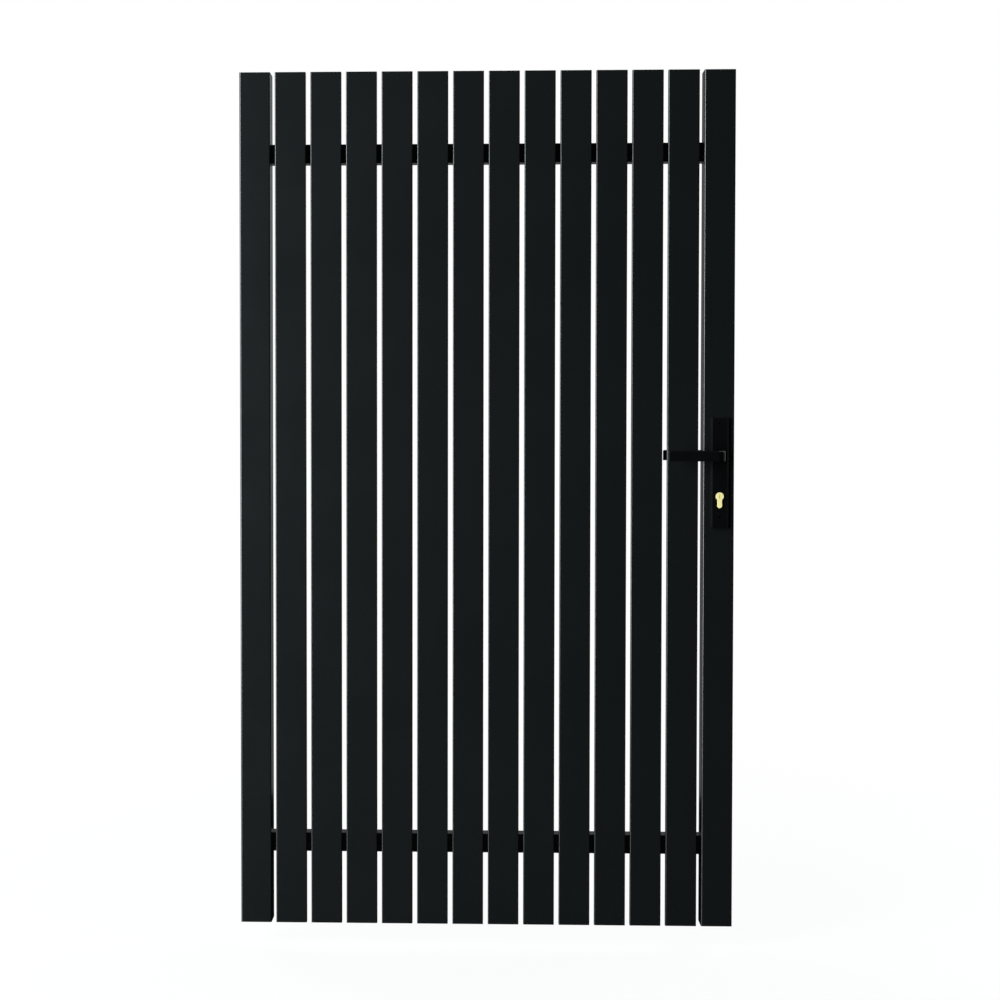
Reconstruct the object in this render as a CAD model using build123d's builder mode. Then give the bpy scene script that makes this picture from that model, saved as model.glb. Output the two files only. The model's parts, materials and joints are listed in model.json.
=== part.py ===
from build123d import *
import os

# Pedestrian gate leaf of powder-coated aluminium: upright slats carried by two rails that run
# behind them, between a hinge stile and a lock stile, with a lever lock on the lock stile.
# Millimetres. +X runs along the leaf towards the lock, +Y from front to back, +Z up. The origin is
# the middle of the hinge stile's outer face.

# Leaf
leaf_height = 1800
member_width = 65  # face width of stiles and slats
member_gap = 10  # daylight between neighbours
slat_count = 12
slat_depth = 16
slat_wall = 1.6
stile_wall = 2.5
stile_radius = 3  # long edges of the stiles
slat_radius = 2  # long edges of the slats
rail_height = 40
rail_depth = 40
rail_wall = 2
rail_radius = 2
rail_inset = 149.5  # from the leaf's end to the rail's nearer edge

# Push-in end caps, let into the mouths of the tubes
cap_thickness = 3
cap_skirt = 12
cap_wall = 1.5
cap_clearance = 0.15
cap_recess = 0.5

# Lock position
lock_offset = 1.5  # spindle axis from the stile's middle, towards the closing edge
handle_height = 994  # spindle axis above the leaf's bottom end
lock_centres = 85  # spindle axis to cylinder axis

# Backplates
plate_width = 38
plate_rise = 79  # plate above the spindle axis
plate_drop = 66  # plate below the cylinder axis
plate_thickness = 9
plate_bevel = 4
plate_screw_hole = 5
plate_screw_top = 11  # upper screw below the plate's top end
plate_screw_bottom = 23  # lower screw above the plate's bottom end

# Lever handles
lever_reach = 109  # spindle axis to the lever's tip
lever_height = 22
lever_thickness = 10
lever_standoff = 36  # stile face to the lever's back
lever_edge = 3  # upper edges
lever_under_chamfer = 0.5  # lower edges
neck_width = 19
neck_gap = 1
elbow_outer_radius = 18
elbow_inner_radius = 5
journal_diameter = 18
journal_clearance = 0.05
journal_end_gap = 1
spindle_size = 8
spindle_clearance = 0.05
spindle_inset = 10  # spindle end to the lever's outer face
spindle_chamfer = 0.8

# Profile cylinder
cylinder_head = 17
cylinder_tail = 10
cylinder_drop = 33  # overall height of the profile
cylinder_proud = 3
cylinder_chamfer = 0.5
cylinder_clearance = 0.3
plug_ring = 2  # wall of the cylinder's head round its plug
plug_length = 30
plug_clearance = 0.05
keyway_width = 1.2
keyway_height = 8
keyway_depth = 20

# Mortice lock
case_thickness = 16
case_back_gap = 14.5  # case to the stile's inner wall behind it
case_rise = 58  # case above the spindle axis
case_drop = 35  # case below the cylinder axis
case_clearance = 0.5
forend_width = 22
forend_thickness = 3
forend_rise = 84  # forend above the spindle axis
forend_drop = 71  # forend below the cylinder axis
forend_clearance = 0.2
bolt_clearance = 0.3
latch_width = 11
latch_height = 16
latch_web = 4  # case wall between the latch bolt and the spindle hole
latch_bevel = 8
deadbolt_width = 8
deadbolt_height = 22
deadbolt_length = 24
deadbolt_rise = 30  # dead bolt above the cylinder axis
spindle_hole = 14
stile_spindle_hole = 22
stile_slot_clearance = 1.5
stile_screw_hole = 10

# Derived positions
pitch = member_width + member_gap
lock_stile_left = (slat_count + 1) * pitch
leaf_width = lock_stile_left + member_width
stile_depth = slat_depth + rail_depth
front_y = -stile_depth / 2
back_y = stile_depth / 2
base_z = -leaf_height / 2
top_z = leaf_height / 2
slat_y = front_y + slat_depth / 2
rail_y = back_y - rail_depth / 2
rail_length = lock_stile_left - member_width
lock_backset = member_width / 2 - lock_offset
lock_x = leaf_width - lock_backset
handle_z = base_z + handle_height
cylinder_z = handle_z - lock_centres
plate_top_z = handle_z + plate_rise
plate_bottom_z = cylinder_z - plate_drop
plate_screws = [
    (lock_x, plate_top_z - plate_screw_top),
    (lock_x, plate_bottom_z + plate_screw_bottom),
]
slat_centres = [(member_width / 2 + pitch * (index + 1), slat_y) for index in range(slat_count)]
stile_centres = [(member_width / 2, 0), (lock_stile_left + member_width / 2, 0)]

# Shared planes: the stile's front face, looking at it, and the closing edge of the leaf
front_face = Plane.XZ.offset(stile_depth / 2)
closing_edge = Plane.YZ.offset(leaf_width)

os.makedirs("parts", exist_ok=True)


def tube_section(width, depth, radius, wall):
    """Tube section about its own middle, with rounded outer corners and a square bore."""
    with BuildSketch() as section:
        RectangleRounded(width, depth, radius)
        Rectangle(width - 2 * wall, depth - 2 * wall, mode=Mode.SUBTRACT)
    return section.sketch


def cylinder_outline(growth):
    """Keyhole outline of the profile cylinder about its head's axis, grown all round."""
    tail_radius = cylinder_tail / 2
    tail_centre = cylinder_head / 2 - cylinder_drop + tail_radius
    with BuildSketch() as outline:
        Circle(cylinder_head / 2 + growth)
        with Locations((0, tail_centre / 2)):
            Rectangle(cylinder_tail + 2 * growth, -tail_centre)
        with Locations((0, tail_centre)):
            Circle(tail_radius + growth)
    return outline.sketch


def upright(centre, depth, radius, wall):
    """Hollow stile or slat, the full height of the leaf."""
    with BuildPart() as member:
        with BuildSketch(Plane.XY.offset(base_z)):
            with Locations(centre):
                add(tube_section(member_width, depth, radius, wall))
        extrude(amount=leaf_height)
    return member.part


def end_caps(centres, depth, wall, end_z, inward):
    """Push-in caps: a plate just inside each tube's mouth, with a skirt along the tube's walls."""
    cap_width = member_width - 2 * (wall + cap_clearance)
    cap_depth = depth - 2 * (wall + cap_clearance)
    outer_z = end_z + inward * cap_recess
    with BuildPart() as caps:
        with BuildSketch(Plane.XY.offset(outer_z)):
            with Locations(centres):
                Rectangle(cap_width, cap_depth)
        extrude(amount=inward * (cap_thickness + cap_skirt))
        with BuildSketch(Plane.XY.offset(outer_z + inward * cap_thickness)):
            with Locations(centres):
                Rectangle(cap_width - 2 * cap_wall, cap_depth - 2 * cap_wall)
        extrude(amount=inward * cap_skirt, mode=Mode.SUBTRACT)
    return caps.part


# Hinge stile: its outer face carries the leaf
with BuildPart() as hinge_stile:
    add(upright(stile_centres[0], stile_depth, stile_radius, stile_wall))
hinge_stile.part.label = "hinge_stile"
export_step(hinge_stile.part, "parts/hinge_stile.step")

# Lock stile, cut for the forend, the lock case, the spindle, the cylinder and the plate screws
forend_height = forend_rise + lock_centres + forend_drop
forend_z = handle_z + forend_rise - forend_height / 2
case_height = case_rise + lock_centres + case_drop
case_z = handle_z + case_rise - case_height / 2
with BuildPart() as lock_stile:
    add(upright(stile_centres[1], stile_depth, stile_radius, stile_wall))
    with BuildSketch(closing_edge):
        with Locations((0, forend_z)):
            SlotOverall(
                forend_height + 2 * forend_clearance,
                forend_width + 2 * forend_clearance,
                rotation=90,
            )
    extrude(amount=-forend_thickness, mode=Mode.SUBTRACT)
    with BuildSketch(closing_edge):
        with Locations((0, case_z)):
            Rectangle(case_thickness + 2 * case_clearance, case_height + 2 * case_clearance)
    extrude(amount=-stile_wall, mode=Mode.SUBTRACT)
    with BuildSketch(Plane.XZ):
        with Locations((lock_x, handle_z)):
            Circle(stile_spindle_hole / 2)
        with Locations((lock_x, cylinder_z)):
            add(cylinder_outline(stile_slot_clearance))
        with Locations(plate_screws):
            Circle(stile_screw_hole / 2)
    extrude(amount=stile_depth, both=True, mode=Mode.SUBTRACT)
lock_stile.part.label = "lock_stile"
export_step(lock_stile.part, "parts/lock_stile.step")

# Slats, front faces level with the stiles
for index, centre in enumerate(slat_centres, start=1):
    with BuildPart() as slat:
        add(upright(centre, slat_depth, slat_radius, slat_wall))
    slat.part.label = f"slat_{index:02d}"
    export_step(slat.part, f"parts/slat_{index:02d}.step")

# Rails, behind the slats and between the stiles
rail_heights = {
    "top_rail": top_z - rail_inset - rail_height / 2,
    "bottom_rail": base_z + rail_inset + rail_height / 2,
}
for rail_name, rail_z in rail_heights.items():
    with BuildPart() as rail:
        with BuildSketch(Plane.YZ.offset(member_width)):
            with Locations((rail_y, rail_z)):
                add(tube_section(rail_depth, rail_height, rail_radius, rail_wall))
        extrude(amount=rail_length)
    rail.part.label = rail_name
    export_step(rail.part, f"parts/{rail_name}.step")

# End caps of the stiles, and of all the slats together at each end
cap_ends = {"top": (top_z, -1), "bottom": (base_z, 1)}
for end_name, (end_z, inward) in cap_ends.items():
    for stile_name, centre in zip(("hinge_stile", "lock_stile"), stile_centres):
        with BuildPart() as stile_cap:
            add(end_caps([centre], stile_depth, stile_wall, end_z, inward))
        stile_cap.part.label = f"{stile_name}_{end_name}_cap"
        export_step(stile_cap.part, f"parts/{stile_name}_{end_name}_cap.step")
    with BuildPart() as slat_caps:
        add(end_caps(slat_centres, slat_depth, slat_wall, end_z, inward))
    slat_caps.part.label = f"slat_{end_name}_caps"
    export_step(slat_caps.part, f"parts/slat_{end_name}_caps.step")

# Backplates: flat bars with bevelled long edges and square ends
plate_front_y = front_y - plate_thickness
plate_side_y = plate_front_y + plate_bevel
plate_left = lock_x - plate_width / 2
plate_right = lock_x + plate_width / 2
with BuildPart() as front_plate:
    with BuildSketch(Plane.XY.offset(plate_bottom_z)):
        with BuildLine():
            Polyline(
                (plate_left, front_y),
                (plate_left, plate_side_y),
                (plate_left + plate_bevel, plate_front_y),
                (plate_right - plate_bevel, plate_front_y),
                (plate_right, plate_side_y),
                (plate_right, front_y),
                close=True,
            )
        make_face()
    extrude(amount=plate_top_z - plate_bottom_z)
    with BuildSketch(front_face):
        with Locations((lock_x, handle_z)):
            Circle(journal_diameter / 2 + journal_clearance)
        with Locations((lock_x, cylinder_z)):
            add(cylinder_outline(cylinder_clearance))
        with Locations(plate_screws):
            Circle(plate_screw_hole / 2)
    extrude(amount=plate_thickness, mode=Mode.SUBTRACT)
front_plate.part.label = "front_plate"
export_step(front_plate.part, "parts/front_plate.step")

with BuildPart() as rear_plate:
    mirror(front_plate.part, about=Plane.XZ)
rear_plate.part.label = "rear_plate"
export_step(rear_plate.part, "parts/rear_plate.step")

# Lever: a flat bar that turns back through an elbow into a neck, whose journal runs in the plate
bar_back_y = front_y - lever_standoff
bar_front_y = bar_back_y - lever_thickness
neck_base_y = plate_front_y - neck_gap
neck_left = lock_x - neck_width / 2
neck_right = lock_x + neck_width / 2
lever_tip_x = lock_x - lever_reach
spindle_end_y = bar_front_y + spindle_inset
with BuildPart() as front_lever:
    with BuildSketch(Plane.XY.offset(handle_z)):
        with BuildLine():
            Polyline(
                (neck_right, neck_base_y),
                (neck_right, bar_front_y),
                (lever_tip_x, bar_front_y),
                (lever_tip_x, bar_back_y),
                (neck_left, bar_back_y),
                (neck_left, neck_base_y),
                close=True,
            )
        make_face()
    extrude(amount=lever_height / 2, both=True)
    bar_front = front_lever.faces().sort_by(Axis.Y)[0]
    elbow_outer = bar_front.edges().filter_by(Axis.Z).sort_by(Axis.X)[-1]
    bar_back = front_lever.faces().filter_by(Axis.Y).sort_by(Axis.Y)[1]
    elbow_inner = bar_back.edges().filter_by(Axis.Z).sort_by(Axis.X)[-1]
    fillet(elbow_outer, elbow_outer_radius)
    fillet(elbow_inner, elbow_inner_radius)
    # The upper edges are rounded and the lower ones just broken, all but those at the neck's foot
    upper_edges = front_lever.faces().sort_by(Axis.Z)[-1].edges().sort_by(Axis.Y)[:-1]
    fillet(upper_edges, lever_edge)
    lower_edges = front_lever.faces().sort_by(Axis.Z)[0].edges().sort_by(Axis.Y)[:-1]
    chamfer(lower_edges, lever_under_chamfer)
    with BuildSketch(Plane.XZ.offset(-neck_base_y)):
        with Locations((lock_x, handle_z)):
            Circle(journal_diameter / 2)
    extrude(amount=neck_base_y - front_y + journal_end_gap)
    with BuildSketch(Plane.XZ.offset(-spindle_end_y)):
        with Locations((lock_x, handle_z)):
            Rectangle(spindle_size + 2 * spindle_clearance, spindle_size + 2 * spindle_clearance)
    extrude(amount=spindle_end_y, mode=Mode.SUBTRACT)
front_lever.part.label = "front_lever"
export_step(front_lever.part, "parts/front_lever.step")

with BuildPart() as rear_lever:
    mirror(front_lever.part, about=Plane.XZ)
rear_lever.part.label = "rear_lever"
export_step(rear_lever.part, "parts/rear_lever.step")

# Square spindle through the lock, into both levers
with BuildPart() as spindle:
    with BuildSketch(Plane.XZ):
        with Locations((lock_x, handle_z)):
            Rectangle(spindle_size, spindle_size)
    extrude(amount=-spindle_end_y, both=True)
    chamfer(spindle.faces().filter_by(Axis.Y).edges(), spindle_chamfer)
spindle.part.label = "spindle"
export_step(spindle.part, "parts/spindle.step")

# Profile cylinder through both plates, with a keyed plug in each end
cylinder_half = stile_depth / 2 + plate_thickness + cylinder_proud
cylinder_front = Plane.XZ.offset(cylinder_half)
plug_diameter = cylinder_head - 2 * plug_ring
with BuildPart() as cylinder_body:
    with BuildSketch(Plane.XZ):
        with Locations((lock_x, cylinder_z)):
            add(cylinder_outline(0))
    extrude(amount=cylinder_half, both=True)
    chamfer(cylinder_body.faces().filter_by(Axis.Y).edges(), cylinder_chamfer)
    for end_plane, inward in ((cylinder_front, -1), (Plane.XZ.offset(-cylinder_half), 1)):
        with BuildSketch(end_plane):
            with Locations((lock_x, cylinder_z)):
                Circle(plug_diameter / 2 + plug_clearance)
        extrude(amount=inward * plug_length, mode=Mode.SUBTRACT)
cylinder_body.part.label = "cylinder_body"
export_step(cylinder_body.part, "parts/cylinder_body.step")

with BuildPart() as front_plug:
    with BuildSketch(cylinder_front):
        with Locations((lock_x, cylinder_z)):
            Circle(plug_diameter / 2)
    extrude(amount=-plug_length)
    with BuildSketch(cylinder_front):
        with Locations((lock_x, cylinder_z)):
            Rectangle(keyway_width, keyway_height)
    extrude(amount=-keyway_depth, mode=Mode.SUBTRACT)
front_plug.part.label = "front_plug"
export_step(front_plug.part, "parts/front_plug.step")

with BuildPart() as rear_plug:
    mirror(front_plug.part, about=Plane.XZ)
rear_plug.part.label = "rear_plug"
export_step(rear_plug.part, "parts/rear_plug.step")

# Mortice lock: case inside the stile, forend let in flush, bolts drawn back level with it
case_front_x = leaf_width - forend_thickness
case_depth = member_width - stile_wall - forend_thickness - case_back_gap
latch_length = lock_backset - spindle_hole / 2 - latch_web
deadbolt_z = cylinder_z + deadbolt_rise
with BuildPart() as forend:
    with BuildSketch(closing_edge):
        with Locations((0, forend_z)):
            SlotOverall(forend_height, forend_width, rotation=90)
        with Locations((0, handle_z)):
            Rectangle(
                latch_width + 2 * bolt_clearance,
                latch_height + 2 * bolt_clearance,
                mode=Mode.SUBTRACT,
            )
        with Locations((0, deadbolt_z)):
            Rectangle(
                deadbolt_width + 2 * bolt_clearance,
                deadbolt_height + 2 * bolt_clearance,
                mode=Mode.SUBTRACT,
            )
    extrude(amount=-forend_thickness)
forend.part.label = "forend"
export_step(forend.part, "parts/forend.step")

with BuildPart() as lock_case:
    with BuildSketch(Plane.YZ.offset(case_front_x)):
        with Locations((0, case_z)):
            Rectangle(case_thickness, case_height)
    extrude(amount=-case_depth)
    with BuildSketch(Plane.XZ):
        with Locations((lock_x, handle_z)):
            Circle(spindle_hole / 2)
        with Locations((lock_x, cylinder_z)):
            add(cylinder_outline(cylinder_clearance))
    extrude(amount=case_thickness, both=True, mode=Mode.SUBTRACT)
    with BuildSketch(closing_edge):
        with Locations((0, handle_z)):
            Rectangle(latch_width + 2 * bolt_clearance, latch_height + 2 * bolt_clearance)
    extrude(amount=-latch_length - bolt_clearance, mode=Mode.SUBTRACT)
    with BuildSketch(closing_edge):
        with Locations((0, deadbolt_z)):
            Rectangle(deadbolt_width + 2 * bolt_clearance, deadbolt_height + 2 * bolt_clearance)
    extrude(amount=-deadbolt_length - bolt_clearance, mode=Mode.SUBTRACT)
lock_case.part.label = "lock_case"
export_step(lock_case.part, "parts/lock_case.step")

with BuildPart() as latch_bolt:
    with BuildSketch(closing_edge):
        with Locations((0, handle_z)):
            Rectangle(latch_width, latch_height)
    extrude(amount=-latch_length)
    nose = latch_bolt.faces().sort_by(Axis.X)[-1].edges().filter_by(Axis.Z).sort_by(Axis.Y)[-1]
    chamfer(nose, latch_bevel)
latch_bolt.part.label = "latch_bolt"
export_step(latch_bolt.part, "parts/latch_bolt.step")

with BuildPart() as dead_bolt:
    with BuildSketch(closing_edge):
        with Locations((0, deadbolt_z)):
            Rectangle(deadbolt_width, deadbolt_height)
    extrude(amount=-deadbolt_length)
dead_bolt.part.label = "dead_bolt"
export_step(dead_bolt.part, "parts/dead_bolt.step")
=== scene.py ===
import json
import math

import bpy
import numpy as np
from mathutils import Matrix, Vector


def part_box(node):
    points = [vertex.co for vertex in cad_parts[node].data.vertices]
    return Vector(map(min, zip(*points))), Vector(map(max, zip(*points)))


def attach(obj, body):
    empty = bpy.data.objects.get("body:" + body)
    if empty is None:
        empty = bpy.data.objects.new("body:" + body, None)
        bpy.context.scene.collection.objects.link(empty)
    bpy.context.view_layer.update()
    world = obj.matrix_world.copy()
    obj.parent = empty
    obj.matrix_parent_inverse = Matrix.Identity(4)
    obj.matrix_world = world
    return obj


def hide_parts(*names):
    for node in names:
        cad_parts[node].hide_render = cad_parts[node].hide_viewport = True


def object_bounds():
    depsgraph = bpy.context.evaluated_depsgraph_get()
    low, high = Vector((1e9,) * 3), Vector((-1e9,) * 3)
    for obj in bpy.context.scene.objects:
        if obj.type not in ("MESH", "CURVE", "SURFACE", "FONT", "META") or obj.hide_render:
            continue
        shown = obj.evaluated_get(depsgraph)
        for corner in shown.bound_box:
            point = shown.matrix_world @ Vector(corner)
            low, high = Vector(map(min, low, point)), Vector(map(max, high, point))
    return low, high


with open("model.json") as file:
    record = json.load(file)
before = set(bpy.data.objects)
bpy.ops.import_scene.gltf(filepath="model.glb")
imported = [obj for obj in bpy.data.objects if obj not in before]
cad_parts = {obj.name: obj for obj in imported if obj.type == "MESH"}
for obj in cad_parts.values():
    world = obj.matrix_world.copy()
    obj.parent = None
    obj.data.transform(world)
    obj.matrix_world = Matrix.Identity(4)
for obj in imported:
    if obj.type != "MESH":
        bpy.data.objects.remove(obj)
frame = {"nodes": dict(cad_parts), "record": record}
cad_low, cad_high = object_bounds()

MM = 0.001
FULL_TURN = 2 * math.pi
QUARTER_TURN = math.pi / 2

# Camera, solved from the straight edges of the slats and stiles. Places are in metres in the gate's
# frame, angles in radians, and pixel values belong to an image 1000 pixels square.
IMAGE_SIZE = 1000
SENSOR_WIDTH = 36.0
FOCAL_PIXELS = 2021.8
PRINCIPAL_X = 404.4
PRINCIPAL_Y = 488.0
CAMERA_PLACE = (0.5148, -4.2895, 0.1626)
CAMERA_YAW = 0.039106
CAMERA_PITCH = 0.03208
CAMERA_CLIP_END = 200

# Ground under the leaf: the reach and depth of the leaf's soft shade, the colour to the eye and to other
# light, and the distances behind the leaf over which its mirror image sets in and turns pale
GROUND_CLEARANCE = 0.05
FLOOR_SIZE = 60.0
FLOOR_ROUGHNESS = 0.15
FLOOR_SHADE_REACH = (0.8, 3.0)
FLOOR_SHADE = 0.07
FLOOR_PALE = (0.8, 0.8, 0.8)
FLOOR_BOUNCE = (0.023, 0.023, 0.023)
FLOOR_BACK_REACH = (-0.1, 0.1)
FLOOR_MIRROR_REACH = (1.715, 1.765)

# Studio: strengths of the room in front of the leaf, of the pale wall behind it and of the window high up
# on the right, and the shares of a ray's direction over which the wall and the window fade in
ROOM_STRENGTH = 0.01
WALL_STRENGTH = 0.13
WALL_FADE = (-0.4, 0.3)
WINDOW_STRENGTH = 1.2
WINDOW_LEAN = 0.6
WINDOW_SIDE_FADE = (0.13, 0.3)
WINDOW_HEIGHT_FADE = (0.15, 0.8)
DAYLIGHT = (0.86, 0.95, 1.0)

# Softboxes: place, width and height in metres, power in watts, and whether glossy surfaces show it
SOFTBOXES = {
    "left_softbox": ((-2.0, -2.2, 0.5), 2.0, 2.9, 285, True),
    "rear_left_softbox": ((-1.8, 2.6, 0.8), 1.6, 2.4, 145, False),
    "right_softbox": ((3.4, 1.6, 0.8), 1.6, 2.4, 90, False),
}

# Range in which most values of a noise lie
NOISE_RANGE = (0.3, 0.7)

# Levers, with the sizes of their solids
LEVER_THICKNESS = 10 * MM
LEVER_EDGE = 3 * MM
LEVER_UNDER_EDGE = 0.5 * MM
NECK_WIDTH = 19 * MM
ELBOW_OUTER_RADIUS = 18 * MM
ELBOW_INNER_RADIUS = 5 * MM
JOURNAL_RADIUS = 9 * MM
JOURNAL_LENGTH = 9 * MM
FLAT_MARGIN = 0.3 * MM
EDGE_STEPS = 13
ELBOW_STEPS = 49
JOURNAL_SEGMENTS = 96
SHARP_ANGLE = math.radians(35)

# Screws: sizes of each kind, and shares of the head's or the socket's size that all kinds have
PLATE_SCREW = {
    "head_radius": 2.4 * MM,
    "head_height": 1.8 * MM,
    "socket_radius": 1.2 * MM,
    "socket_depth": 1.3 * MM,
    "lobe_depth": 0.06,
    "shank_length": 1.5 * MM,
}
FOREND_SCREW = {
    "head_radius": 3.4 * MM,
    "head_height": 0.8 * MM,
    "socket_radius": 1.6 * MM,
    "socket_depth": 0.6 * MM,
    "lobe_depth": 0.12,
    "shank_length": 3.2 * MM,
}
RAIL_SCREW = {
    "head_radius": 4.4 * MM,
    "head_height": 2.2 * MM,
    "socket_radius": 2.0 * MM,
    "socket_depth": 1.4 * MM,
    "lobe_depth": 0.12,
    "shank_length": 1.5 * MM,
}
SCREW_SEGMENTS = 48
RIM_STEPS = 7
RIM_SHARE = 0.3
SHANK_SHARE = 0.5
SOCKET_FLOOR_SHARE = 0.5
SOCKET_CHAMFER_SHARE = 0.05
SOCKET_LOBES = 6
PLATE_SCREW_SUNK = 3.0 * MM
PLATE_SCREW_TOP = 11 * MM
PLATE_SCREW_BOTTOM = 23 * MM
FOREND_SCREW_INSET = 14 * MM
RAIL_SCREW_SPREAD = 17 * MM


def object_coordinates(tree):
    """Object coordinates, which are the gate's own frame on every piece."""
    return tree.nodes.new("ShaderNodeTexCoord").outputs["Object"]


def noise(tree, vector, scale, detail=2.0, roughness=0.5):
    """Value of a fractal noise with the given number of features a metre."""
    node = tree.nodes.new("ShaderNodeTexNoise")
    node.inputs["Scale"].default_value = scale
    node.inputs["Detail"].default_value = detail
    node.inputs["Roughness"].default_value = roughness
    tree.links.new(vector, node.inputs["Vector"])
    return node.outputs["Fac"]


def stretched(tree, vector, scale):
    """Coordinates scaled differently along each axis, for drawn or brushed grain."""
    node = tree.nodes.new("ShaderNodeMapping")
    node.inputs["Scale"].default_value = scale
    tree.links.new(vector, node.inputs["Vector"])
    return node.outputs["Vector"]


def carried(tree, value, start_end, low_high, interpolation="LINEAR"):
    """A socket's value carried from one range onto another, and held at its ends."""
    node = tree.nodes.new("ShaderNodeMapRange")
    node.interpolation_type = interpolation
    node.inputs["From Min"].default_value = start_end[0]
    node.inputs["From Max"].default_value = start_end[1]
    node.inputs["To Min"].default_value = low_high[0]
    node.inputs["To Max"].default_value = low_high[1]
    tree.links.new(value, node.inputs["Value"])
    return node.outputs["Result"]


def remap(tree, value, low, high):
    """A noise value carried onto the range from low to high."""
    return carried(tree, value, NOISE_RANGE, (low, high))


def smooth_rise(tree, value, start_end, low_high):
    """Smooth step of a socket's value from low to high between a start and an end."""
    return carried(tree, value, start_end, low_high, "SMOOTHSTEP")


def colour_mix(tree, share, first, second):
    """Colour that goes from the first to the second by a share."""
    node = tree.nodes.new("ShaderNodeMix")
    node.data_type = "RGBA"
    node.inputs["A"].default_value = (*first, 1)
    node.inputs["B"].default_value = (*second, 1)
    tree.links.new(share, node.inputs["Factor"])
    return node.outputs["Result"]


def two_tone(tree, value, first, second):
    """Colour between two close tones, by a noise value."""
    return colour_mix(tree, remap(tree, value, 0, 1), first, second)


def bump(tree, value, distance, strength):
    """Surface relief of the given depth in metres."""
    node = tree.nodes.new("ShaderNodeBump")
    node.inputs["Distance"].default_value = distance
    node.inputs["Strength"].default_value = strength
    tree.links.new(value, node.inputs["Height"])
    return node.outputs["Normal"]


def new_material(name):
    """Empty node material, its tree and its main shader."""
    material = bpy.data.materials.new(name)
    material.use_nodes = True
    tree = material.node_tree
    return material, tree, tree.nodes["Principled BSDF"]


def powder_coat():
    """Satin black powder coat: faint cloudiness, uneven gloss and a very slight orange peel."""
    material, tree, shader = new_material("black_powder_coat")
    place = object_coordinates(tree)
    clouds = noise(tree, place, scale=3.0)
    tone = two_tone(tree, clouds, (0.0056, 0.0063, 0.0065), (0.0062, 0.0070, 0.0072))
    tree.links.new(tone, shader.inputs["Base Color"])
    patches = noise(tree, place, scale=9.0, detail=3.0)
    tree.links.new(remap(tree, patches, low=0.18, high=0.21), shader.inputs["Roughness"])
    peel = noise(tree, place, scale=900.0, detail=3.0)
    tree.links.new(bump(tree, peel, distance=0.005 * MM, strength=0.2), shader.inputs["Normal"])
    shader.inputs["Specular IOR Level"].default_value = 0.5
    return material


def furniture_coat():
    """Smooth deep black coat of the plates and levers."""
    material, tree, shader = new_material("black_furniture_coat")
    place = object_coordinates(tree)
    clouds = noise(tree, place, scale=20.0)
    tone = two_tone(tree, clouds, (0.0020, 0.0022, 0.0023), (0.0025, 0.0027, 0.0028))
    tree.links.new(tone, shader.inputs["Base Color"])
    tree.links.new(remap(tree, clouds, low=0.18, high=0.21), shader.inputs["Roughness"])
    grain = noise(tree, place, scale=2200.0)
    tree.links.new(bump(tree, grain, distance=0.005 * MM, strength=0.2), shader.inputs["Normal"])
    shader.inputs["Specular IOR Level"].default_value = 0.3
    return material


def moulded_plastic():
    """Matt black plastic of the end caps, with a fine moulded grain."""
    material, tree, shader = new_material("black_moulded_plastic")
    place = object_coordinates(tree)
    clouds = noise(tree, place, scale=40.0)
    tone = two_tone(tree, clouds, (0.006, 0.0062, 0.0065), (0.009, 0.0093, 0.0096))
    tree.links.new(tone, shader.inputs["Base Color"])
    grain = noise(tree, place, scale=1500.0, detail=3.0)
    tree.links.new(remap(tree, grain, low=0.5, high=0.62), shader.inputs["Roughness"])
    tree.links.new(bump(tree, grain, distance=0.03 * MM, strength=0.4), shader.inputs["Normal"])
    return material


def cylinder_brass():
    """Pale brass of the lock cylinder, with fine drawn grain along its length."""
    material, tree, shader = new_material("cylinder_brass")
    along_cylinder = stretched(tree, object_coordinates(tree), (1.0, 0.05, 1.0))
    grain = noise(tree, along_cylinder, scale=1400.0, detail=3.0)
    tone = two_tone(tree, grain, (0.96, 0.805, 0.335), (1.0, 0.845, 0.37))
    tree.links.new(tone, shader.inputs["Base Color"])
    tree.links.new(remap(tree, grain, low=0.34, high=0.44), shader.inputs["Roughness"])
    tree.links.new(bump(tree, grain, distance=0.005 * MM, strength=0.2), shader.inputs["Normal"])
    shader.inputs["Metallic"].default_value = 0.08
    return material


def brushed_steel():
    """Stainless steel of the forend, bolts and spindle, brushed up and down."""
    material, tree, shader = new_material("brushed_steel")
    upright = stretched(tree, object_coordinates(tree), (1.0, 1.0, 0.03))
    grain = noise(tree, upright, scale=1800.0, detail=3.0)
    tone = two_tone(tree, grain, (0.46, 0.46, 0.45), (0.60, 0.60, 0.59))
    tree.links.new(tone, shader.inputs["Base Color"])
    tree.links.new(remap(tree, grain, low=0.26, high=0.38), shader.inputs["Roughness"])
    tree.links.new(bump(tree, grain, distance=0.008 * MM, strength=0.3), shader.inputs["Normal"])
    shader.inputs["Metallic"].default_value = 1.0
    return material


def blackened_steel():
    """Black oxide of the screws, a little worn to grey."""
    material, tree, shader = new_material("blackened_steel")
    wear = noise(tree, object_coordinates(tree), scale=700.0, detail=4.0, roughness=0.6)
    tone = two_tone(tree, wear, (0.002, 0.002, 0.002), (0.006, 0.006, 0.006))
    tree.links.new(tone, shader.inputs["Base Color"])
    tree.links.new(remap(tree, wear, low=0.4, high=0.55), shader.inputs["Roughness"])
    shader.inputs["Metallic"].default_value = 0.4
    return material


finishes = {
    "powder_coat": powder_coat(),
    "lock_furniture": furniture_coat(),
    "plastic_cap": moulded_plastic(),
    "brass": cylinder_brass(),
    "steel": brushed_steel(),
}
screw_black = blackened_steel()

for row in frame["record"]["subparts"]:
    for holder in frame["nodes"][row["node"]].material_slots:
        holder.material = finishes[row["material_slot"]]


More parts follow.
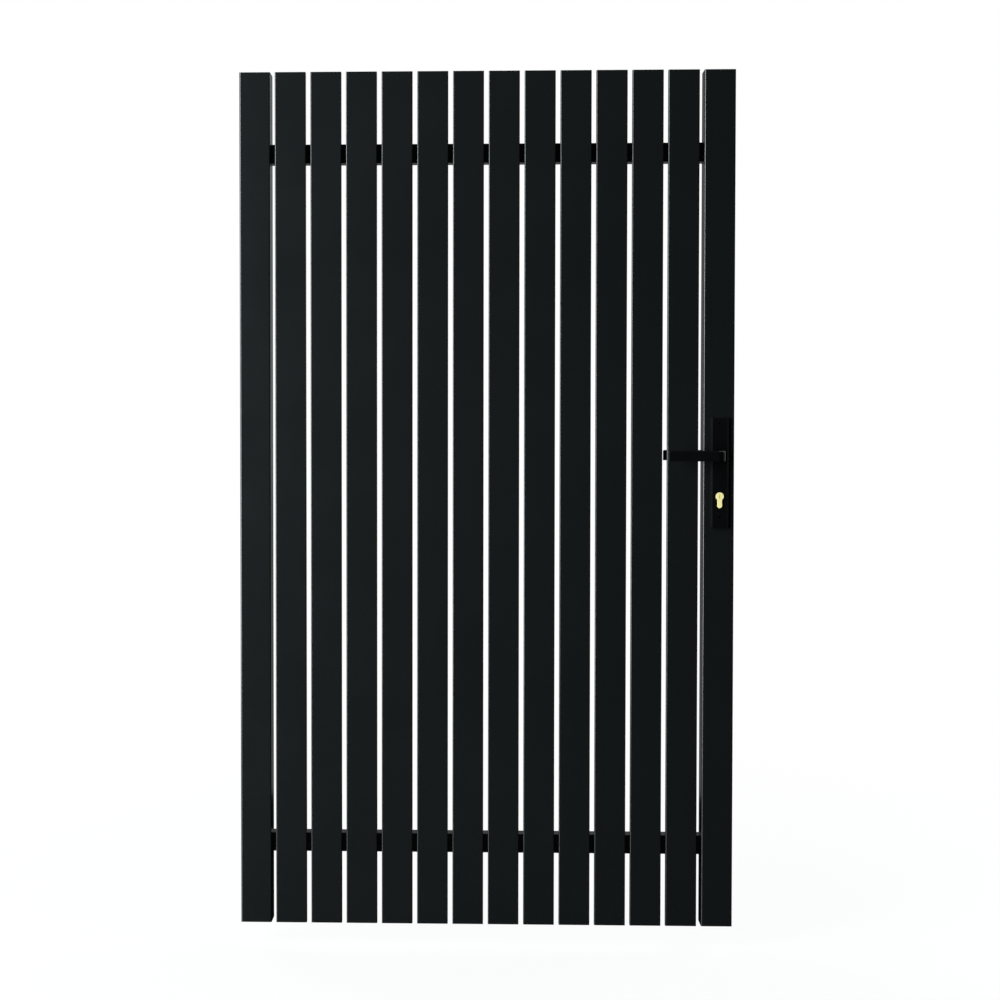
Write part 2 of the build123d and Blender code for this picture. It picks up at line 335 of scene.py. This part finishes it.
def screw_rings(head_radius, head_height, socket_radius, socket_depth, lobe_depth, shank_length):
    """Rings of a screw about its own axis, from the socket's floor to the shank's end.

    Each ring is a radius at every angle and a height. The socket's wall follows a six-lobed outline,
    radius times one plus a share of the cosine of six times the angle. The head is a flat top with a
    quarter-round rim, and the shank a plain round half as wide. Heights are above the head's seat.
    """
    angle = np.arange(SCREW_SEGMENTS) / SCREW_SEGMENTS * FULL_TURN
    lobes = socket_radius * (1 + lobe_depth * np.cos(SOCKET_LOBES * angle))
    chamfer = SOCKET_CHAMFER_SHARE * socket_radius
    rim = RIM_SHARE * head_height
    turn = np.linspace(0, QUARTER_TURN, RIM_STEPS)
    rim_radius = head_radius - rim + rim * np.sin(turn)
    rim_height = head_height - rim + rim * np.cos(turn)
    floor = head_height - socket_depth
    shank = SHANK_SHARE * head_radius
    radius = [SOCKET_FLOOR_SHARE * lobes, lobes, lobes, lobes + chamfer]
    radius += [np.full_like(angle, value) for value in (*rim_radius, head_radius, shank, shank)]
    height = [floor, floor, head_height - chamfer, head_height, *rim_height, 0, 0, -shank_length]
    radius = np.stack(radius)
    height = np.array(height)[:, None] + 0 * radius
    return np.stack([radius * np.cos(angle), radius * np.sin(angle), height], axis=-1)


def closed_rings(rings):
    """Points and faces of a skin through closed rings, with a fan to a middle point at each end.

    Rings run from the outer end of the axis to the inner end, and turn to the left seen from outside.
    """
    count, segments = rings.shape[:2]
    points = np.concatenate([rings.reshape(-1, 3), rings[[0, -1]].mean(axis=1)])
    row, column = np.meshgrid(np.arange(count - 1), np.arange(segments), indexing="ij")
    after = (column + 1) % segments
    low, high = row * segments, (row + 1) * segments
    skin = np.stack([low + column, high + column, high + after, low + after], axis=-1).reshape(-1, 4)
    first = np.arange(segments)
    second = (first + 1) % segments
    last = (count - 1) * segments
    outer_fan = np.stack([0 * first + count * segments, first, second], axis=-1)
    inner_fan = np.stack([0 * first + count * segments + 1, last + second, last + first], axis=-1)
    return points, skin, np.concatenate([outer_fan, inner_fan])


def joined(skins):
    """Points and faces of several skins in one mesh, each skin's faces counted on from the one before."""
    faces = []
    start = 0
    for points, skin, fans in skins:
        faces += (skin + start).tolist() + (fans + start).tolist()
        start += len(points)
    return np.concatenate([points for points, skin, fans in skins]), faces


def add_piece(name, points, faces, material, body):
    """Mesh object that rides on a body, smooth but for its sharp edges."""
    mesh = bpy.data.meshes.new(name)
    mesh.from_pydata(points.tolist(), [], faces)
    mesh.materials.append(material)
    mesh.shade_smooth()
    mesh.set_sharp_from_angle(angle=SHARP_ANGLE)
    piece = bpy.data.objects.new(name, mesh)
    bpy.context.scene.collection.objects.link(piece)
    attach(piece, body)
    return piece


def add_screws(name, rings, seats, right, out, material):
    """One mesh of equal screws, each seated at a place with its axis along out."""
    points, skin, fans = closed_rings(rings)
    axes = np.array([right, np.cross(out, right), out], float)
    placed, faces = joined([(points @ axes + np.array(seat), skin, fans) for seat in seats])
    return add_piece(name, placed, faces, material, "leaf")


# Screws of the backplates, sunk in their holes
plate_screw = screw_rings(**PLATE_SCREW)
for plate_name, out_y in (("front_plate", -1), ("rear_plate", 1)):
    low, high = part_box(plate_name)
    face_y = low.y if out_y < 0 else high.y
    seat_y = face_y - out_y * (PLATE_SCREW_SUNK + PLATE_SCREW["head_height"])
    seats = [
        ((low.x + high.x) / 2, seat_y, z)
        for z in (high.z - PLATE_SCREW_TOP, low.z + PLATE_SCREW_BOTTOM)
    ]
    add_screws(
        plate_name + "_screws", plate_screw, seats, (1, 0, 0), (0, out_y, 0), screw_black
    )

# Screws of the forend, one near each end
low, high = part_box("forend")
seats = [
    (high.x - FOREND_SCREW["head_height"], 0, z)
    for z in (high.z - FOREND_SCREW_INSET, low.z + FOREND_SCREW_INSET)
]
add_screws(
    "forend_screws", screw_rings(**FOREND_SCREW), seats, (0, 1, 0), (1, 0, 0), finishes["steel"]
)

# Screws through the rails into the backs of the slats, one pair at each crossing
rail_screw = screw_rings(**RAIL_SCREW)
slat_names = [name for name in sorted(frame["nodes"]) if name.startswith("slat_") and name[-1].isdigit()]
slat_boxes = [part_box(name) for name in slat_names]
for rail_name in ("top_rail", "bottom_rail"):
    low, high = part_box(rail_name)
    seats = [
        ((slat_low.x + slat_high.x) / 2 + side * RAIL_SCREW_SPREAD, high.y, (low.z + high.z) / 2)
        for slat_low, slat_high in slat_boxes
        for side in (-1, 1)
    ]
    add_screws(rail_name + "_screws", rail_screw, seats, (1, 0, 0), (0, 1, 0), screw_black)


def lever_rings(low, high):
    """Rings of the lever's bar, elbow and neck, from the tip to the neck's foot.

    In plan the lever lies between an outer and an inner line. Both run straight along the bar, turn
    back through a quarter circle at the elbow and run straight down the neck. A ring's points stand on
    these two lines, moved into the metal by an inset: the upper edges follow a quarter circle, inset
    radius times one minus cosine and height radius times sine, and the lower edges a small chamfer.
    The tip has the same edges across it, so near the tip the heights are clipped to its own quarter
    circle and chamfer.
    """
    turn = np.linspace(0, QUARTER_TURN, EDGE_STEPS)
    rounding = LEVER_EDGE * (1 - np.cos(turn))
    drop = LEVER_EDGE * (1 - np.sin(turn))
    inset = np.concatenate([[LEVER_UNDER_EDGE, 0, 0], rounding, [LEVER_EDGE + FLAT_MARGIN]])
    side_height = [low.z, low.z + LEVER_UNDER_EDGE, high.z - LEVER_EDGE - FLAT_MARGIN]
    height = np.concatenate([side_height, high.z - drop, [high.z]])
    tip = np.sort(np.concatenate([rounding, [LEVER_UNDER_EDGE, LEVER_EDGE + FLAT_MARGIN]]))
    bend = np.linspace(0, QUARTER_TURN, ELBOW_STEPS)
    foot = high.y - JOURNAL_LENGTH

    def plan_line(face_x, face_y, radius):
        """Line along the bar at face_y, round a bend of the given radius and down the neck at face_x."""
        bend_x = face_x - radius * (1 - np.sin(bend))
        bend_y = face_y + radius * (1 - np.cos(bend))
        line_x = [low.x + tip, bend_x[:1] - FLAT_MARGIN, bend_x, [face_x, face_x]]
        line_y = [0 * tip + face_y, bend_y[:1], bend_y, [bend_y[-1] + FLAT_MARGIN, foot]]
        return np.stack([np.concatenate(line_x), np.concatenate(line_y)], axis=-1)[:, None]

    outer = plan_line(high.x, low.y, ELBOW_OUTER_RADIUS)
    inner = plan_line(high.x - NECK_WIDTH, low.y + LEVER_THICKNESS, ELBOW_INNER_RADIUS)
    facing = np.concatenate([0 * tip, [0], bend, [bend[-1], bend[-1]]])
    out = np.stack([np.sin(facing), -np.cos(facing)], axis=-1)[:, None]
    shift = out * inset[None, :, None]
    from_tip = np.full(len(facing), LEVER_EDGE)
    from_tip[:len(tip)] = np.minimum(tip, LEVER_EDGE)
    top = high.z - LEVER_EDGE + np.sqrt(LEVER_EDGE**2 - (LEVER_EDGE - from_tip) ** 2)
    bottom = low.z + np.maximum(LEVER_UNDER_EDGE - from_tip, 0)
    level = np.clip(height[None], bottom[:, None], top[:, None])
    plan = np.concatenate([outer - shift, (inner + shift)[:, ::-1]], axis=1)
    level = np.concatenate([level, level[:, ::-1]], axis=1)
    return np.concatenate([plan, level[..., None]], axis=-1)


def journal_rings(low, high):
    """Two equal circles about the spindle's axis, one inside the neck and one at the journal's end."""
    angle = np.arange(JOURNAL_SEGMENTS) / JOURNAL_SEGMENTS * FULL_TURN
    ends = np.array([high.y - JOURNAL_LENGTH - FLAT_MARGIN, high.y])[:, None] + 0 * angle
    across = high.x - NECK_WIDTH / 2 + JOURNAL_RADIUS * np.cos(angle) + 0 * ends
    up = (low.z + high.z) / 2 + JOURNAL_RADIUS * np.sin(angle) + 0 * ends
    return np.stack([across, ends, up], axis=-1)


# Levers with smooth elbows in place of their faceted solids, the rear one a mirror image of the front one
low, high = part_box("front_lever")
lever_skins = [closed_rings(rings(low, high)) for rings in (lever_rings, journal_rings)]
lever_points, lever_faces = joined(lever_skins)
for lever_name, side_y in (("front_lever", 1), ("rear_lever", -1)):
    lever = add_piece(
        lever_name + "_smooth",
        lever_points * (1, side_y, 1),
        [face[::side_y] for face in lever_faces],
        finishes["lock_furniture"],
        "handle",
    )
    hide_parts(lever_name)


def math_node(tree, operation, first, second):
    """Sum, product or greater of two sockets or of a socket and a number."""
    node = tree.nodes.new("ShaderNodeMath")
    node.operation = operation
    tree.links.new(first, node.inputs[0])
    if isinstance(second, (int, float)):
        node.inputs[1].default_value = second
    else:
        tree.links.new(second, node.inputs[1])
    return node.outputs[0]


def parted(tree, vector):
    """The X, Y and Z parts of a vector."""
    node = tree.nodes.new("ShaderNodeSeparateXYZ")
    tree.links.new(vector, node.inputs[0])
    return node.outputs


def shader_mix(tree, share, first, second):
    """Shader that goes from the first to the second by a share."""
    node = tree.nodes.new("ShaderNodeMixShader")
    tree.links.new(share, node.inputs[0])
    tree.links.new(first, node.inputs[1])
    tree.links.new(second, node.inputs[2])
    return node.outputs[0]


def ray_kinds(tree):
    """Outputs of the light path, and the rays by which the eye sees, straight or through clear things."""
    path = tree.nodes.new("ShaderNodeLightPath").outputs
    return path, math_node(tree, "MAXIMUM", path["Is Camera Ray"], path["Is Transmission Ray"])


def pale_floor():
    """Plain pale ground just under the leaf.

    The eye sees it white, but for the leaf's soft shade. All other light meets a dim floor, so that it
    throws little light up. Mirror rays that go behind the leaf see it black near by and as pale as the
    wall further off.
    """
    material, tree, shader = new_material("pale_floor")
    path, seen = ray_kinds(tree)
    colour = colour_mix(tree, path["Is Camera Ray"], FLOOR_BOUNCE, FLOOR_PALE)
    tree.links.new(colour, shader.inputs["Base Color"])
    shader.inputs["Roughness"].default_value = FLOOR_ROUGHNESS
    ground = cad_low.z - GROUND_CLEARANCE
    reach = tree.nodes.new("ShaderNodeVectorMath")
    reach.operation = "DISTANCE"
    tree.links.new(object_coordinates(tree), reach.inputs[0])
    reach.inputs[1].default_value = ((cad_low.x + cad_high.x) / 2, 0, ground)
    fade = smooth_rise(tree, reach.outputs["Value"], FLOOR_SHADE_REACH, (1 - FLOOR_SHADE, 1))
    depth = parted(tree, object_coordinates(tree))["Y"]
    behind = smooth_rise(tree, depth, FLOOR_BACK_REACH, (0, 1))
    mirrored = math_node(tree, "MULTIPLY", path["Is Glossy Ray"], behind)
    share = math_node(tree, "MAXIMUM", math_node(tree, "MULTIPLY", seen, fade), mirrored)
    far = smooth_rise(tree, depth, FLOOR_MIRROR_REACH, (0, WALL_STRENGTH))
    white = tree.nodes.new("ShaderNodeEmission")
    tree.links.new(math_node(tree, "MAXIMUM", seen, far), white.inputs["Strength"])
    surface = shader_mix(tree, share, shader.outputs["BSDF"], white.outputs[0])
    tree.links.new(surface, tree.nodes["Material Output"].inputs["Surface"])
    half = FLOOR_SIZE / 2
    corners = [(-half, -half, ground), (half, -half, ground), (half, half, ground), (-half, half, ground)]
    mesh = bpy.data.meshes.new("floor")
    mesh.from_pydata(corners, [], [(0, 1, 2, 3)])
    mesh.materials.append(material)
    floor = bpy.data.objects.new("floor", mesh)
    bpy.context.scene.collection.objects.link(floor)


def studio_world():
    """White to the eye, and to other rays a dim room with a window high up on the right.

    Mirror rays also see a paler wall behind the leaf. The window is the product of two smooth steps, one
    to the right and one up a line that leans back.
    """
    world = bpy.data.worlds.new("studio")
    bpy.context.scene.world = world
    world.use_nodes = True
    tree = world.node_tree
    path, seen = ray_kinds(tree)
    direction = parted(tree, tree.nodes.new("ShaderNodeTexCoord").outputs["Generated"])
    room = tree.nodes["Background"]
    room.inputs["Color"].default_value = (1, 1, 1, 1)
    room.inputs["Strength"].default_value = ROOM_STRENGTH
    right = smooth_rise(tree, direction["X"], WINDOW_SIDE_FADE, (0, WINDOW_STRENGTH))
    leaning = math_node(tree, "MULTIPLY", direction["Y"], WINDOW_LEAN)
    leaning = math_node(tree, "ADD", leaning, direction["Z"])
    up = smooth_rise(tree, leaning, WINDOW_HEIGHT_FADE, (0, 1))
    window = tree.nodes.new("ShaderNodeBackground")
    window.inputs["Color"].default_value = (*DAYLIGHT, 1)
    tree.links.new(math_node(tree, "MULTIPLY", right, up), window.inputs["Strength"])
    light = tree.nodes.new("ShaderNodeAddShader")
    tree.links.new(room.outputs[0], light.inputs[0])
    tree.links.new(window.outputs[0], light.inputs[1])
    wall = smooth_rise(tree, direction["Y"], WALL_FADE, (0, WALL_STRENGTH))
    mirrored = math_node(tree, "MULTIPLY", path["Is Glossy Ray"], wall)
    share = math_node(tree, "MAXIMUM", seen, mirrored)
    white = tree.nodes.new("ShaderNodeBackground")
    white.inputs["Color"].default_value = (1, 1, 1, 1)
    surface = shader_mix(tree, share, light.outputs[0], white.outputs[0])
    tree.links.new(surface, tree.nodes["World Output"].inputs["Surface"])


def softbox(name, target, place, width, height, power, mirrored):
    """Large rectangular lamp that faces a point, and shows in glossy surfaces where it is mirrored."""
    lamp = bpy.data.lights.new(name, "AREA")
    lamp.shape = "RECTANGLE"
    lamp.size = width
    lamp.size_y = height
    lamp.energy = power
    lamp.color = DAYLIGHT
    holder = bpy.data.objects.new(name, lamp)
    holder.location = place
    holder.rotation_euler = (target - Vector(place)).to_track_quat("-Z", "Y").to_euler()
    holder.visible_glossy = mirrored
    bpy.context.scene.collection.objects.link(holder)


def photo_camera():
    """Camera with the solved place, turn, focal length and off-centre frame."""
    data = bpy.data.cameras.new("camera")
    data.sensor_width = SENSOR_WIDTH
    data.lens = FOCAL_PIXELS * SENSOR_WIDTH / IMAGE_SIZE
    data.shift_x = 0.5 - PRINCIPAL_X / IMAGE_SIZE
    data.shift_y = PRINCIPAL_Y / IMAGE_SIZE - 0.5
    data.clip_end = CAMERA_CLIP_END
    right = Vector((math.cos(CAMERA_YAW), math.sin(CAMERA_YAW), 0))
    level = Vector((-math.sin(CAMERA_YAW), math.cos(CAMERA_YAW), 0))
    ahead = level * math.cos(CAMERA_PITCH) - Vector((0, 0, math.sin(CAMERA_PITCH)))
    turn = Matrix((right, right.cross(ahead), -ahead)).transposed().to_4x4()
    camera = bpy.data.objects.new("camera", data)
    camera.matrix_world = Matrix.Translation(CAMERA_PLACE) @ turn
    bpy.context.scene.collection.objects.link(camera)
    bpy.context.scene.camera = camera


pale_floor()
studio_world()
for softbox_name, settings in SOFTBOXES.items():
    softbox(softbox_name, (cad_low + cad_high) / 2, *settings)
photo_camera()
bpy.context.scene.view_settings.view_transform = "Standard"
